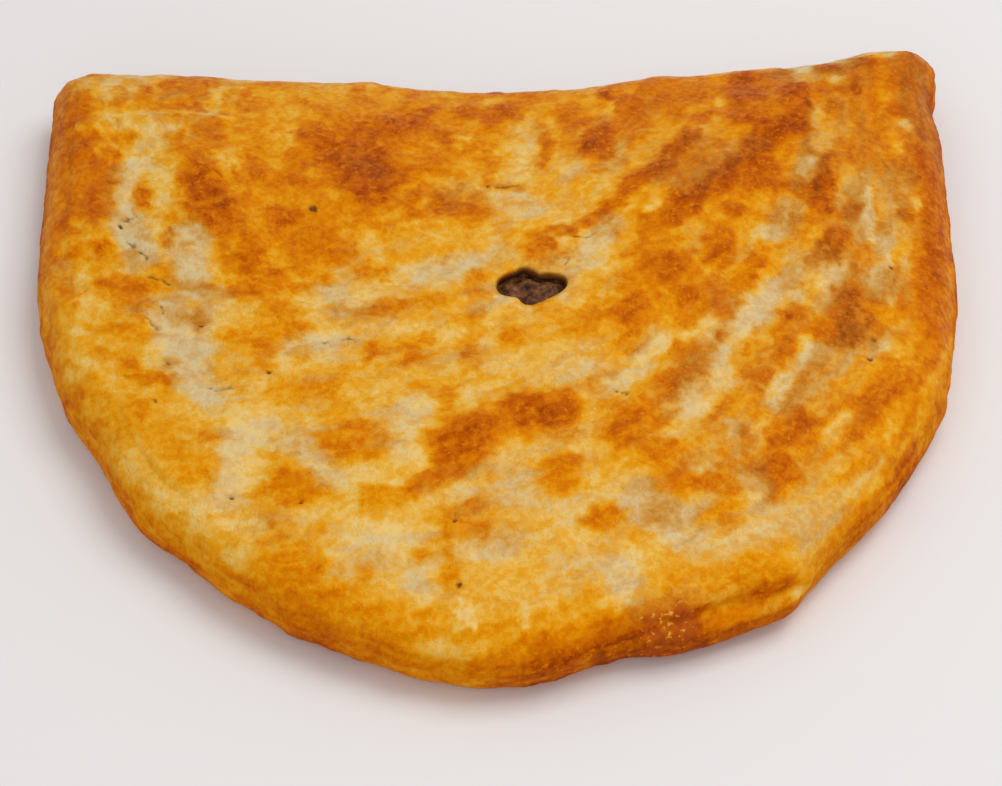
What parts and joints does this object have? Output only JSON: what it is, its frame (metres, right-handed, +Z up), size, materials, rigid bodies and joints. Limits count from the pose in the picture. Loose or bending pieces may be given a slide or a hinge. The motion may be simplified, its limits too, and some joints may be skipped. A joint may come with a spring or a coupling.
{
  "type": "puff pastry meat pie",
  "caption": "D-shaped baked meat pie: a browned pastry crust with a rolled edge, kicked back corners and a torn steam vent, with meat filling inside.",
  "frame": {"origin": "middle of the outline's bounding box, on the surface that the pie lies on", "axes": "+Z up; +X along the straight back edge, to the right as seen from the bowed front; +Y from the bowed front to the straight back edge"},
  "size_m": [0.302, 0.2646, 0.0374],
  "materials": {
    "crust": "egg-washed puff pastry, mottled cream to golden brown",
    "filling": "moist cooked minced meat, dark brown"
  },
  "bodies": {
    "root": {"crust": "crust", "filling": "filling"}
  },
  "joints": []
}
